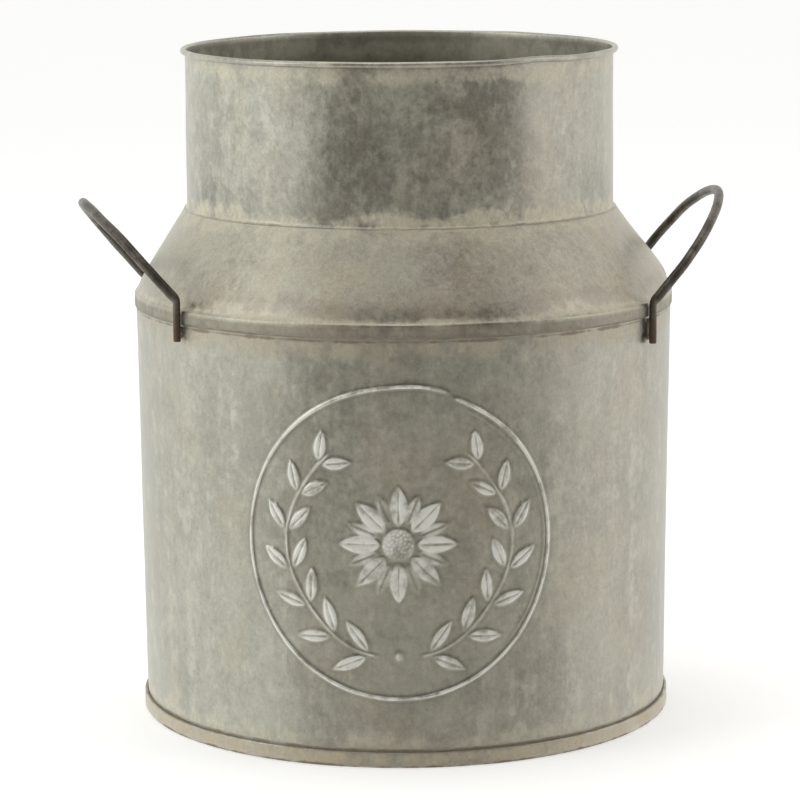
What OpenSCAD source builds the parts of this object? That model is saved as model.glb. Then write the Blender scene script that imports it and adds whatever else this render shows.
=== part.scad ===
// Milk can of zinc-coated sheet: a tapered body, a cone shoulder and a straight
// neck, folded together in lock seams, a base pan double-seamed to the body, a
// mouth curled over a wire hoop, and two round-wire handles welded to the wall.
// Millimetres. +Z is up, the can's axis is the Z axis, z = 0 is the plane the
// base seam stands on, and -Y is the front with the embossed seal.

/* [Sheet] */
// Thickness of the zinc-coated sheet
sheet_t = 0.4; // [0.35:0.05:0.5]
// Clearance between two folded layers of sheet
layer_gap = 0.1; // [0.08:0.01:0.12]

/* [Body] */
// Outer diameter of the body wall just above the base seam
body_base_d = 226.4; // [222:0.2:228]
// Outer diameter of the body wall at the shoulder seam
body_top_d = 230; // [229:0.2:234]
// Height of the top of the shoulder seam above the standing plane
body_h = 182.4; // [176:0.2:188]
// Height of the base seam band
base_seam_h = 6.4; // [5.6:0.1:7.2]
// Height of the base panel's upper face above the standing plane
base_panel_z = 7; // [6:0.1:8]

/* [Shoulder and neck] */
// Height of the shoulder seam band
shoulder_seam_h = 6.5; // [5.8:0.1:7.2]
// Height of the seam between the shoulder and the neck
neck_seam_z = 217; // [212:0.5:220]
// Outer diameter of the neck
neck_d = 182; // [178:0.2:184]
// Overall height of the can, at the top of the curled rim
can_h = 285.6; // [280:0.2:295]
// Diameter of the hoop wire inside the curled rim
rim_wire_d = 1.5; // [1.3:0.1:1.7]

/* [Handles] */
// Diameter of the handle wire
handle_wire_d = 4; // [3.6:0.1:4.4]
// Width of a handle between the centrelines of its two legs
handle_w = 106; // [100:1:110]
// Length of the loop from the bend to the tip, along its slope
handle_reach = 49; // [46:1:52]
// Radius of the loop's two outer corners
handle_corner_r = 8; // [6:1:10]
// Length of the straight stretch between the bend and the corner
handle_straight = 23; // [20:1:26]
// Height of the bends above the standing plane
handle_bend_z = 184.2; // [184:0.2:186]
// Height of the lower ends of the legs
handle_foot_z = 166.8; // [165:0.2:169]
// Slope of the left loop above the horizontal, in degrees
left_slope = 50; // [46:1:54]
// Slope of the right loop above the horizontal, in degrees
right_slope = 52; // [46:1:54]
// Turn of the left handle towards the front, in degrees
left_turn = 11.8; // [0:0.1:14]
// Turn of the right handle towards the front, in degrees
right_turn = 0.5; // [0:0.1:14]

/* [Seal] */
// Diameter of the embossed ring, measured along the sheet
seal_d = 129.5; // [110:0.5:130]
// Height of the ring's centre above the standing plane
seal_z = 92.5; // [88:0.5:96]
// Height of the raised lines above the wall
seal_relief = 0.5; // [0.4:0.1:0.7]

/* [Hidden] */
$fn = 120;
t = sheet_t;
g = layer_gap;
rb = body_base_d / 2;
rt = body_top_d / 2;
rn = neck_d / 2;
H = base_seam_h;
zt = body_h;
hs = shoulder_seam_h;
zn = neck_seam_z;
// base seam: five layers, the outermost belongs to the base pan
r_chuck = rb - t - g;
r_base = rb + 3 * g + 3 * t;
// shoulder seam: body wall, body hook, shoulder skirt
r_skirt = rt + 2 * g + 2 * t;
// cone of the shoulder, outer line from (rt, zt) to (r_land, zn)
r_land = rn + 1.6;
cone_l = norm([r_land - rt, zn - zt]);
cone_dr = (r_land - rt) / cone_l;
cone_dz = (zn - zt) / cone_l;
function cone_r(z) = rt + (z - zt) * cone_dr / cone_dz;
function cone_in(z) = rt - t * cone_dz + (z - zt - t * cone_dr) * cone_dr / cone_dz;
// body wall, outer radius at a height on the tapered stretch
z_tap0 = H + 1;
z_tap1 = zt - hs - 1;
function wall_r(z) = rb + (rt - rb) * (z - z_tap0) / (z_tap1 - z_tap0);
// rolled rim
hoop_gap = 0.08;
r_curl_in = rim_wire_d / 2 + hoop_gap;
r_curl = r_curl_in + t;
rim_r = rn - t + r_curl;
rim_z = can_h - r_curl;
// handles
hw = handle_w / 2;
hr = handle_wire_d / 2;
elbow_r = 4;
leg_r = r_skirt + hr + 0.05;
leg_x = sqrt(leg_r * leg_r - hw * hw);
top_r = (pow(hw - handle_corner_r, 2) + pow(handle_straight - handle_reach, 2)
        - pow(handle_corner_r, 2))
        / (2 * ((handle_reach - handle_straight) - handle_corner_r));
corner_a = atan2(handle_straight - (handle_reach - top_r), hw - handle_corner_r);

// A rib on the back of a rolled sheet, where its two edges are folded together:
// a wide low step under a narrower one, in the (radius, height) outline of side.
module grooved_seam(r_mean, steps) {
    for (s = steps) {
        half = s[0] / r_mean * 90 / PI;
        rotate([0, 0, 90 - half]) rotate_extrude(angle = 2 * half) polygon(s[1]);
    }
}

// Outline of the body's back seam: from inside the sheet to h proud of it
function body_rib(h, e) = [
    [wall_r(z_tap0 + e) - t / 2, z_tap0 + e], [wall_r(z_tap0 + e) + h, z_tap0 + e],
    [wall_r(z_tap1 - e) + h, z_tap1 - e], [wall_r(z_tap1 - e) - t / 2, z_tap1 - e]];
function cone_rib(h, e) = [
    [cone_r(zt + e) - t / 2, zt + e], [cone_r(zt + e) + h, zt + e],
    [cone_r(zn - e) + h, zn - e], [cone_r(zn - e) - t / 2, zn - e]];
function neck_rib(h, e) = [
    [rn - t / 2, zn + 1.2 + e], [rn + h, zn + 1.2 + e],
    [rn + h, rim_z - r_curl - e], [rn - t / 2, rim_z - r_curl - e]];

// A flat shape laid on the curved wall keeps its own width along the sheet
seal_wall = wall_r(seal_z);
function wrap(p) = [seal_wall * sin(p[0] / seal_wall * 180 / PI), p[1]];
function ring_pts(r, n) = [for (i = [0 : n - 1]) wrap([r * cos(360 * i / n), r * sin(360 * i / n)])];
// A pointed leaf from the stem outwards, turned by a about its own foot
function leaf_pts(x, y, a, l, w) = [for (i = [0 : 9])
    let (s = i < 5 ? i / 5 : (10 - i) / 5, v = (i < 5 ? 1 : -1) * w / 2 * pow(sin(180 * s), 0.8))
    wrap([x + l * s * cos(a) - v * sin(a), y + l * s * sin(a) + v * cos(a)])];
wreath_r = seal_d / 2 * 0.72;
module seal_shape() {
    difference() {
        polygon(ring_pts(seal_d / 2, 60));
        polygon(ring_pts(seal_d / 2 - 1.7, 60));
    }
    // two sprigs of leaves, in pairs either side of a bare stem line, that rise from
    // the foot of the ring
    for (m = [-1, 1], k = [-1, 1], i = [0 : 6]) {
        b = 270 + m * (16 + i * 20);
        r = wreath_r + k * 1.4;
        polygon(leaf_pts(r * cos(b), r * sin(b), b + m * 90 - m * k * 38, 13.5 - i * 0.5, 5));
    }
    // a simple flower of eight petals round a button
    for (i = [0 : 7]) polygon(leaf_pts(7.5 * cos(45 * i), 7.5 * sin(45 * i), 45 * i, 15, 8.4));
    polygon(ring_pts(5.2, 24));
}

// Rolled and tapered body sheet, with its seams' folds, the back seam and the seal
module body_wall() color([0.56, 0.56, 0.51]) union() {
    rotate_extrude() polygon([
        [rb - t, t],
        [rb + 2 * g + 2 * t, t],
        [rb + 2 * g + 2 * t, H - t - 0.5],
        [rb + 2 * g + t, H - t - 0.5],
        [rb + 2 * g + t, 2 * t],
        [rb, 2 * t],
        [rb, z_tap0],
        [rt, z_tap1],
        [rt, zt - 2 * t],
        [rt + g, zt - 2 * t],
        [rt + g, zt - hs + t + 0.5],
        [rt + g + t, zt - hs + t + 0.5],
        [rt + g + t, zt - t],
        [rt - t, zt - t],
        [rt - t, z_tap1],
        [rb - t, z_tap0]]);
    grooved_seam(rt, [[7, body_rib(0.45, 0.6)], [5.2, body_rib(0.85, 1.2)]]);
    intersection() {
        rotate_extrude() polygon([
            [wall_r(20) - t / 2, 20], [wall_r(20) + seal_relief, 20],
            [wall_r(165) + seal_relief, 165], [wall_r(165) - t / 2, 165]]);
        translate([0, 0, seal_z]) rotate([90, 0, 0]) linear_extrude(height = 130) seal_shape();
    }
}

// Recessed bottom panel with the outer half of the base double seam
module base_pan() color([0.50, 0.47, 0.40]) rotate_extrude() polygon([
    [0, base_panel_z - t],
    [r_chuck - t, base_panel_z - t],
    [r_chuck - t, 0],
    [r_base - 0.3, 0],
    [r_base, 0.3],
    [r_base, H - 0.3],
    [r_base - 0.3, H],
    [rb + g, H],
    [rb + g, H - 3.4],
    [rb + g + t, H - 3.4],
    [rb + g + t, H - t],
    [rb + 3 * g + 2 * t, H - t],
    [rb + 3 * g + 2 * t, t],
    [r_chuck, t],
    [r_chuck, base_panel_z],
    [0, base_panel_z]]);

// Cone between the body and the neck: a skirt clinched over the body's hook below,
// a flat land above that the neck is flanged and beaded on to
module shoulder_cone() color([0.64, 0.61, 0.52]) union() {
    rotate_extrude() polygon([
        [rt + g, zt - hs],
        [r_skirt, zt - hs],
        [r_skirt, zt],
        [rt, zt],
        [r_land, zn],
        [rn + g, zn],
        [rn + g, zn - t],
        [cone_in(zn - t), zn - t],
        [cone_in(zt - t), zt - t],
        [rt + 2 * g + t, zt - t],
        [rt + 2 * g + t, zt - hs + t],
        [rt + g, zt - hs + t]]);
    grooved_seam(rn + 12, [[7, cone_rib(0.45, 0.8)], [5.2, cone_rib(0.85, 1.4)]]);
}

// Straight neck: a flange under the shoulder's land, a bead on top of it, and the
// upper edge curled outwards round the hoop
module neck_wall() color([0.54, 0.54, 0.50]) union() {
    rotate_extrude() {
        polygon([
            [rn - t, zn - 2 * t],
            [rn + 1.1, zn - 2 * t],
            [rn + 1.1, zn - t],
            [rn, zn - t],
            [rn, zn],
            [rn + 0.6, zn],
            [rn + 0.6, zn + 0.4],
            [rn, zn + 1.2],
            [rn, rim_z],
            [rn - t, rim_z]]);
        translate([rim_r, rim_z]) difference() {
            circle(r = r_curl, $fn = 48);
            circle(r = r_curl_in, $fn = 48);
            polygon([[0, 0], [-3, 0], [-3, -3], [3 * cos(255), 3 * sin(255)]]);
        }
    }
    grooved_seam(rn, [[7, neck_rib(0.45, 0.4)], [5.2, neck_rib(0.85, 1)]]);
}

// Wire hoop that stiffens the mouth
module rim_wire() color([0.35, 0.34, 0.32])
    translate([0, 0, rim_z]) rotate_extrude() translate([rim_r, 0]) circle(d = rim_wire_d, $fn = 32);

// Centreline of a handle on the +X side, from the near leg's foot over the loop to
// the far leg's foot. A point of the sloping loop is given as (reach, width).
function on_slope(p, slope) = [leg_x + p[0] * cos(slope), p[1], handle_bend_z + p[0] * sin(slope)];
function half_path(slope, m) = let (e = elbow_r * tan((90 - slope) / 2), c = handle_reach - top_r) concat(
    [[leg_x, m * hw, handle_foot_z]],
    [for (i = [0 : 4]) let (a = 180 - (90 - slope) * i / 4)
        [leg_x + elbow_r + elbow_r * cos(a), m * hw, handle_bend_z - e + elbow_r * sin(a)]],
    [for (i = [0 : 6]) let (a = corner_a * i / 6)
        on_slope([handle_straight + handle_corner_r * sin(a), m * (hw - handle_corner_r * (1 - cos(a)))], slope)],
    [for (i = [1 : 6]) let (a = corner_a + (90 - corner_a) * i / 7)
        on_slope([c + top_r * sin(a), m * top_r * cos(a)], slope)]);
function handle_path(slope) = let (near = half_path(slope, -1), far = half_path(slope, 1), n = len(far))
    concat(near, [on_slope([handle_reach, 0], slope)], [for (i = [1 : n]) far[n - i]]);

// Round wire swept along a path: each ring lies square to the path there
wire_sides = 16;
function unit(v) = v / norm(v);
function along(p, i) = unit(i == 0 ? p[1] - p[0] : i == len(p) - 1 ? p[i] - p[i - 1]
    : unit(p[i + 1] - p[i]) + unit(p[i] - p[i - 1]));
// the loop bends about two directions only, so one side vector is carried along
function carried(v, d) = unit(v - (v * d) * d);
function sides_along(p, i, v) = let (c = carried(v, along(p, i)))
    i == len(p) - 1 ? [c] : concat([c], sides_along(p, i + 1, c));
module wire_sweep(p) {
    n = len(p);
    s = sides_along(p, 0, [1, 0, 0]);
    pts = [for (i = [0 : n - 1]) let (d = along(p, i), b = cross(d, s[i]))
        for (k = [0 : wire_sides - 1]) let (a = 360 * k / wire_sides)
            p[i] + hr * cos(a) * s[i] + hr * sin(a) * b];
    faces = concat(
        [[for (k = [0 : wire_sides - 1]) k]],
        [for (i = [0 : n - 2], k = [0 : wire_sides - 1]) let (k1 = (k + 1) % wire_sides)
            [i * wire_sides + k, (i + 1) * wire_sides + k, (i + 1) * wire_sides + k1, i * wire_sides + k1]],
        [[for (k = [0 : wire_sides - 1]) n * wire_sides - 1 - k]]);
    polyhedron(points = pts, faces = faces, convexity = 6);
}
module wire_handle(slope) wire_sweep(handle_path(slope));

module left_handle() color([0.30, 0.27, 0.23]) rotate([0, 0, 180 + left_turn]) wire_handle(left_slope);
module right_handle() color([0.30, 0.27, 0.23]) rotate([0, 0, -right_turn]) wire_handle(right_slope);

// Fillets of weld metal between the two legs and the body wall, below the seam band
module leg_welds() for (m = [-1, 1]) difference() {
    rotate([0, 0, m * asin(hw / leg_r)]) translate([rt + 0.9, 0, handle_foot_z + 0.8])
        cylinder(r = 2.4, h = zt - hs - 0.6 - handle_foot_z - 0.8, $fn = 120);
    translate([leg_x, m * hw, handle_foot_z - 1]) cylinder(r = hr, h = 20, $fn = 120);
    rotate_extrude($fn = 720) polygon([[0, z_tap0], [rb, z_tap0], [rt, z_tap1], [rt, zt], [0, zt]]);
}
module left_handle_welds() color([0.36, 0.28, 0.20]) rotate([0, 0, 180 + left_turn]) leg_welds();
module right_handle_welds() color([0.36, 0.28, 0.20]) rotate([0, 0, -right_turn]) leg_welds();

body_wall();
base_pan();
shoulder_cone();
neck_wall();
rim_wire();
left_handle();
right_handle();
left_handle_welds();
right_handle_welds();
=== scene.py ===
import math

import bmesh
import bpy
import numpy as np
from mathutils import Matrix, Vector


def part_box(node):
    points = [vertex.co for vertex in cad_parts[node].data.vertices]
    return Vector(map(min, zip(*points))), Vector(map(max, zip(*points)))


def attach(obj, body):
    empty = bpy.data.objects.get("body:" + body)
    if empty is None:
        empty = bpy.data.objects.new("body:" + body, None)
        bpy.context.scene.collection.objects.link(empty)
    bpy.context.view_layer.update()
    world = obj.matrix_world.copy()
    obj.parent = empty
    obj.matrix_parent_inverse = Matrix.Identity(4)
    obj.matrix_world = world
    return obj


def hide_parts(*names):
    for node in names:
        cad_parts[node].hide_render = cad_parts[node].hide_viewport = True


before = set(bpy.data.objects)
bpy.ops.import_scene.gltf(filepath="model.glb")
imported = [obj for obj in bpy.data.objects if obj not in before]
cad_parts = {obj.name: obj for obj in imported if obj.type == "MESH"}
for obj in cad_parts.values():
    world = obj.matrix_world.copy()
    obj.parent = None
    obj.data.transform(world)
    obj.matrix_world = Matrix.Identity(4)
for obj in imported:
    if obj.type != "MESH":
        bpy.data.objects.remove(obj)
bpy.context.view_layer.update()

MM = 0.001
TAU = 2 * math.pi

# ---------------------------------------------------------------- sizes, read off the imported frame
def box(n):
    lo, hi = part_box(n)
    return [c / MM for c in lo], [c / MM for c in hi]

(_, neck_hi), (neck_lo, _) = box("neck_wall"), box("neck_wall")
sh_lo, sh_hi = box("shoulder_cone")
bp_lo, bp_hi = box("base_pan")
bw_lo, bw_hi = box("body_wall")
RIM_R = neck_hi[0]                 # outside of the curled rim, 93.06
CAN_H = neck_hi[2]                 # 285.6
SKIRT_R = sh_hi[0]                 # outside of the shoulder seam, 116.0
BASE_R = bp_hi[0]                  # outside of the base seam, 114.7
Z_SH0 = sh_lo[2]                   # 175.9
T = 0.5                            # thickness of the sheet as drawn here
RB = BASE_R - 1.5                  # body wall just above the base seam
RT = SKIRT_R - 1.0                 # body wall at the shoulder seam
H_BASE = 6.4
Z_TOP = 182.4
Z_NECK = 217.0
RN = 91.0

# ---------------------------------------------------------------- repeatable noise
_rng = np.random.RandomState(20)
_perm = np.concatenate([_rng.permutation(256)] * 3)
_grad = _rng.normal(size=(256, 3))
_grad /= np.linalg.norm(_grad, axis=1)[:, None]


def perlin(p):
    p = np.asarray(p, float)
    i = np.floor(p).astype(int)
    f = p - i
    u = f * f * f * (f * (f * 6 - 15) + 10)
    out = 0.0
    for dx in (0, 1):
        for dy in (0, 1):
            for dz in (0, 1):
                h = _perm[_perm[_perm[(i[:, 0] + dx) & 255] + ((i[:, 1] + dy) & 255)] + ((i[:, 2] + dz) & 255)]
                g = _grad[h]
                d = ((f - (dx, dy, dz)) * g).sum(1)
                w = (u[:, 0] if dx else 1 - u[:, 0]) * (u[:, 1] if dy else 1 - u[:, 1]) * (u[:, 2] if dz else 1 - u[:, 2])
                out = out + d * w
    return out * 1.6


def fbm(p, scale, octaves=3, gain=0.5, offset=0.0):
    p = np.asarray(p, float) / scale + offset
    out, a = 0.0, 1.0
    for _ in range(octaves):
        out = out + a * perlin(p)
        p, a = p * 2.03 + 7.3, a * gain
    return out


def smooth(a, b, x):
    t = np.clip((x - a) / (b - a), 0, 1)
    return t * t * (3 - 2 * t)


def bump(t):
    """1 at 0, down to 0 at 1, flat at both."""
    t = np.clip(np.abs(t), 0, 1)
    return (1 - t * t) ** 2


def on_cylinder(r, theta, z):
    return np.stack([r * np.cos(theta), r * np.sin(theta), z], 1)


# ---------------------------------------------------------------- mesh building
def make_object(name, verts_mm, faces, sharp_deg=40, attrs=None):
    me = bpy.data.meshes.new(name)
    me.from_pydata((np.asarray(verts_mm) * MM).tolist(), [], faces)
    me.update()
    bm = bmesh.new()
    bm.from_mesh(me)
    bmesh.ops.recalc_face_normals(bm, faces=bm.faces)
    bm.to_mesh(me)
    bm.free()
    for n, v in (attrs or {}).items():
        a = me.attributes.new(n, "FLOAT", "POINT")
        a.data.foreach_set("value", np.asarray(v, np.float32))
    me.polygons.foreach_set("use_smooth", [True] * len(me.polygons))
    if sharp_deg:
        me.set_sharp_from_angle(angle=math.radians(sharp_deg))
    me.update()
    o = bpy.data.objects.new(name, me)
    bpy.context.scene.collection.objects.link(o)
    return o


def line(a, b, step):
    """Points from a to b, b left out, no further apart than step."""
    n = max(1, int(math.ceil(math.dist(a[:2], b[:2]) / step)))
    return [tuple(a[k] + (b[k] - a[k]) * i / n for k in range(2)) for i in range(n)]


def arc(c, r, a0, a1, n):
    return [(c[0] + r * math.cos(math.radians(a0 + (a1 - a0) * i / n)),
             c[1] + r * math.sin(math.radians(a0 + (a1 - a0) * i / n))) for i in range(n + 1)]


def columns(r, step, extra=()):
    """Angles round the can, from the back (+Y), closer together across the back seam."""
    half = TAU * r / 2
    n = int(round(TAU * r / step))
    xs = [-half + TAU * r * (i + 0.5) / n for i in range(n)]
    xs = [x for x in xs if abs(x) < half - 7.5]
    near = [7.2, 5.8, 4.9, 4.2, 3.8, 3.5, 3.2, 2.9, 2.6, 2.3, 1.6, 0.8]
    xs = [-half + v for v in sorted(near)] + [-half] + xs + [half - v for v in near]
    xs = sorted(set(xs))
    return np.array([math.radians(270) + x / r for x in xs])


def rib(x):
    """Outline of a folded back seam: how far it stands proud at x mm from its middle."""
    x = np.abs(x)
    return 0.42 * (1 - smooth(3.3, 3.8, x)) + 0.40 * (1 - smooth(2.35, 2.85, x)) - 0.10 * bump(x / 0.7)


def back_x(theta, r):
    d = (theta - math.radians(90) + math.pi) % TAU - math.pi
    return d * r


# ---------------------------------------------------------------- the seal's relief
RING_R, WREATH_R = 64.0, 46.4
SEAL_X, SEAL_Z = -2.65, 92.65


def leaf_height(x, y, fx, fy, ang, length, width):
    """A domed pointed leaf with a sunk midrib: foot at fx, fy, pointing along ang."""
    c, s = math.cos(ang), math.sin(ang)
    u = ((x - fx) * c + (y - fy) * s) / length
    v = (-(x - fx) * s + (y - fy) * c)
    u01 = np.clip(u, 0, 1)
    half = width / 2 * np.sin(np.pi * u01 ** 0.85) ** 0.8 + 1e-6
    inside = (u > 0) & (u < 1)
    e = np.abs(v) / half
    dome = np.where(inside, 1 - smooth(0.45, 1.05, e), 0) * np.clip(np.sin(np.pi * u01), 0, 1) ** 0.35
    groove = np.where(inside, bump(v / 0.75) * smooth(0.05, 0.2, u) * (1 - smooth(0.75, 0.95, u)), 0)
    return np.clip(dome - 0.55 * groove * dome, 0, 1)


def relief(x, y):
    x = x * 1.011
    rho = np.hypot(x, y)
    ang = np.degrees(np.arctan2(y, x))
    h = np.zeros_like(x)
    # the ring: a pressed line; at the upper right the die slipped, so the line steps and doubles
    slip = np.exp(-((ang - 70.5) / 2.6) ** 2)
    step = 0.9 * smooth(96, 78, ang) * smooth(69, 72, ang) - 0.5 * smooth(72, 69, ang) * smooth(30, 62, ang)
    ring = bump((rho - RING_R - step) / 1.25) * (1 - 0.9 * slip)
    faint = 0.42 * bump((rho - RING_R + 2.3 - step) / 0.95) * smooth(-52, -34, ang) * (1 - smooth(60, 66, ang))
    h = np.maximum(h, 0.66 * ring)
    h = np.maximum(h, 0.62 * faint)
    h = h - 0.10 * bump((rho - RING_R + 3.4) / 2.2) * (ring < 0.05) - 0.07 * bump((rho - RING_R - 2.6) / 2.4) * (ring < 0.05)
    # wreath: two stems rising from the foot, each with seven pairs of leaves
    R = WREATH_R
    for m in (-1, 1):
        along = (((ang + 360) % 360 - 270) * m + 180) % 360 - 180
        wob = 0.8 * np.sin(np.radians(along * 5.0))
        stem = bump((rho - R - wob) / 1.1) * smooth(9, 14, along) * (1 - smooth(140, 148, along))
        h = np.maximum(h, 0.40 * stem)
        for i in range(7):
            b = 16 + i * 20
            fb = math.radians(270 + m * b)
            wobi = 0.8 * math.sin(math.radians(b * 5.0))
            size = 15.5 - 0.5 * i
            for k in (-1, 1):
                r0 = R + wobi + k * 1.2
                fx, fy = r0 * math.cos(fb), r0 * math.sin(fb)
                d = fb + m * math.radians(90) - m * k * math.radians(38)
                h = np.maximum(h, 0.60 * leaf_height(x, y, fx, fy, d, size, 6.6))
        for i in range(7):
            bb = math.radians(270 + m * (25.5 + i * 20))
            for k, q in ((1, 7.4), (-1, 6.6)):
                bx, by = (R + k * q) * math.cos(bb), (R + k * q) * math.sin(bb)
                h = np.maximum(h, 0.44 * bump(np.hypot(x - bx, y - by) / 1.5))
    h = np.maximum(h, 0.5 * bump(np.hypot(x, y + R) / 3.4))
    # flower in the middle: eight broad petals, smaller ones showing between them, round a seeded button
    for i in range(8):
        a = math.radians(45 * i + 22.5)
        h = np.maximum(h, 0.40 * leaf_height(x, y, 8.5 * math.cos(a), 8.5 * math.sin(a), a, 13.8, 8.0))
    for i in range(8):
        a = math.radians(45 * i)
        h = np.maximum(h, 0.62 * leaf_height(x, y, 7.2 * math.cos(a), 7.2 * math.sin(a), a, 17.2, 10.2))
    button = 0.55 * (1 - smooth(6.2, 7.4, rho))
    seeds = np.zeros_like(x)
    for i in range(40):
        rr, aa = 5.9 * math.sqrt((i + 0.5) / 40), i * 2.39996
        seeds = np.maximum(seeds, bump(np.hypot(x - rr * math.cos(aa), y - rr * math.sin(aa)) / 0.62))
    h = np.where(rho < 8, np.maximum(h * smooth(6.6, 7.6, rho), button * (0.62 + 0.5 * seeds)), h)
    return h


# returns the relief height and a mask of the hollows just beside it; the material darkens that mask as painted shade,
# with some grime
def relief_and_hollow_shade(x, y):
    h = relief(x, y)
    near = np.zeros_like(h)
    for k in range(8):
        a = k * TAU / 8
        near = np.maximum(near, relief(x + 1.3 * math.cos(a), y + 1.3 * math.sin(a)))
    return h, np.clip(near - h, 0, 1)


# ---------------------------------------------------------------- body wall
def wall_r(z):
    return RB + (RT - RB) * np.clip((z - 7.4) / (174.9 - 7.4), 0, 1)


def wall_dents(theta, z):
    """Hand-worked sheet: broad shallow hollows, a little chatter, quiet next to the seams."""
    p = on_cylinder(114.0, theta, z)
    q = smooth(7, 20, z) * (1 - smooth(160, 175, z))
    d = 0.30 * fbm(p, (62, 62, 80), 2, 0.5, 3.1) + 0.045 * fbm(p, (15, 15, 17), 2, 0.5, 11.0)
    # a soft dish under the shoulder at the right, and one low on the left
    d = d - 0.35 * np.exp(-(((theta - math.radians(318)) * 114 / 20) ** 2 + ((z - 138) / 24) ** 2))
    d = d - 0.30 * np.exp(-(((theta - math.radians(222)) * 114 / 22) ** 2 + ((z - 44) / 20) ** 2))
    return q * d


def build_body():
    th = columns(114.0, 2.12)
    r1 = lambda z: float(wall_r(np.array(z)))
    outer = [(r1(z), z) for z in np.concatenate([[7.4], np.arange(9.4, 174.0, 2.1), [174.9]])]
    inner = [(r1(z) - T, z) for z in (174.9, 168, 160, 150, 140, 130, 120, 110, 100, 90, 80, 70, 60, 50, 40, 30, 22, 15, 10, 7.4)]
    hook_low = [(RB - T, 0.55), (RB + 0.95, 0.45), (RB + 1.05, 0.6), (RB + 1.05, 5.2), (RB + 0.95, 5.35), (RB + 0.68, 5.3),
                (RB + 0.62, 5.1), (RB + 0.62, 1.3), (RB, 1.3), (RB, 3.6), (RB, 6.0)]
    hook_top = [(RT, 178.2), (RT, 181.2), (RT + 0.06, 181.4), (RT + 0.06, 176.9), (RT + 0.10, 176.75), (RT + 0.22, 176.75),
                (RT + 0.26, 176.9), (RT + 0.26, 181.3), (RT + 0.20, 181.5), (RT - T, 181.5), (RT - T, 178.5)]
    prof = hook_low + outer + hook_top + inner
    i0, i1 = len(hook_low), len(hook_low) + len(outer) - 1
    j0 = len(hook_low) + len(outer) + len(hook_top)
    M, N = len(prof), len(th)
    prof = np.array(prof)

    bm = bmesh.new()
    vs = [[bm.verts.new((j, i, 0)) for j in range(N)] for i in range(M)]
    for i in range(M):
        for j in range(N):
            a, b = vs[i][j], vs[i][(j + 1) % N]
            c, d = vs[(i + 1) % M][(j + 1) % N], vs[(i + 1) % M][j]
            bm.faces.new((a, b, c, d))
    xs = (th - math.radians(270)) * 114.0 - SEAL_X

    def in_seal(v):
        j, i = v.co.x, v.co.y
        if not i0 <= i <= i1:
            return False
        return math.hypot(xs[int(j)], prof[int(i)][1] - SEAL_Z) < 68.0

    flag = {v: in_seal(v) for v in bm.verts}
    edges = [e for e in bm.edges if flag[e.verts[0]] and flag[e.verts[1]]]
    bmesh.ops.subdivide_edges(bm, edges=edges, cuts=3, use_grid_fill=True)
    big = [f for f in bm.faces if len(f.verts) > 4]
    bmesh.ops.triangulate(bm, faces=big)
    bm.verts.ensure_lookup_table()
    bm.verts.index_update()
    co = np.array([v.co[:2] for v in bm.verts])
    faces = [[v.index for v in f.verts] for f in bm.faces]
    bm.free()

    theta = np.interp(co[:, 0], np.arange(N), th)
    r = np.interp(co[:, 1], np.arange(M), prof[:, 0])
    z = np.interp(co[:, 1], np.arange(M), prof[:, 1])
    row = co[:, 1]
    is_out = (row >= i0 - 0.01) & (row <= i1 + 0.01)
    is_in = row >= j0 - 0.01
    d = np.where(is_out | is_in, wall_dents(theta, z), 0)
    sx, sy = (theta - math.radians(270)) * 114.0 - SEAL_X, z - SEAL_Z
    near = is_out & (np.hypot(sx, sy) < 70)
    h, shade_grime = np.zeros(len(r)), np.zeros(len(r))
    h[near], shade_grime[near] = relief_and_hollow_shade(sx[near], sy[near])
    # wear and press marks on the relief itself
    p = on_cylinder(114.0, theta, z)
    h = h * (0.90 + 0.32 * np.clip(fbm(p, (13, 13, 13), 3, 0.6, 5.5), -1, 1))
    inner = near * (1 - smooth(56, 62, np.hypot(sx, sy)))
    lumps = 0.12 * fbm(p, (4.6, 4.6, 4.6), 2, 0.6, 15.0) * inner * (0.45 + 0.75 * bump(np.hypot(sx, sy) / 42))
    seam = np.where(is_out, rib(back_x(theta, 114.0)) * smooth(7.6, 8.6, z) * (1 - smooth(173.6, 174.6, z)), 0)
    r = r + d + h + lumps + seam
    # the hollow mask carries painted shade and grime for the material
    o = make_object("body_shell", on_cylinder(r, theta, z), faces, 38,
                    {"relief": np.clip(h / 0.55, 0, 1.3), "hollow_shade_grime": np.clip(shade_grime / 0.5, 0, 1), "inside": is_in.astype(float)})
    return o


# ---------------------------------------------------------------- round pieces from one closed outline
def set_over(V, z):
    """The neck was soldered on a shade off the body's axis: nothing at the shoulder's foot, all of it at the neck."""
    V = np.array(V, dtype=float)
    V[:, 0] -= 1.2 * np.clip((z - Z_TOP) / (Z_NECK - Z_TOP), 0, 1)
    return V


def build_round(name, prof, r_mean, step, move, sharp=38, seam=None, inner=None):
    """Turns a closed outline of (radius, height) points round the axis. move(theta, r, z) gives (dr, dz)."""
    th = columns(r_mean, step)
    prof = np.array([p[:2] for p in prof])
    M, N = len(prof), len(th)
    r = np.repeat(prof[:, 0], N)
    z = np.repeat(prof[:, 1], N)
    t = np.tile(th, M)
    dr, dz = move(t, r, z)
    if seam is not None:
        dr = dr + seam(t, r, z)
    i, j = np.meshgrid(np.arange(M), np.arange(N), indexing="ij")
    i, j = i.ravel(), j.ravel()
    a, b = i * N + j, i * N + (j + 1) % N
    c, d = ((i + 1) % M) * N + (j + 1) % N, ((i + 1) % M) * N + j
    attrs = {"inside": inner(r, z).astype(float)} if inner else None
    return make_object(name, set_over(on_cylinder(r + dr, t, z + dz), z), np.stack([a, b, c, d], 1).tolist(), sharp, attrs)


# ---------------------------------------------------------------- shoulder
CONE = np.array([RN + 1.6 - RT, Z_NECK - Z_TOP])
CONE_L = np.linalg.norm(CONE)
CU = CONE / CONE_L
CN = np.array([CU[1], -CU[0]])          # outward across the cone's sheet


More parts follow.
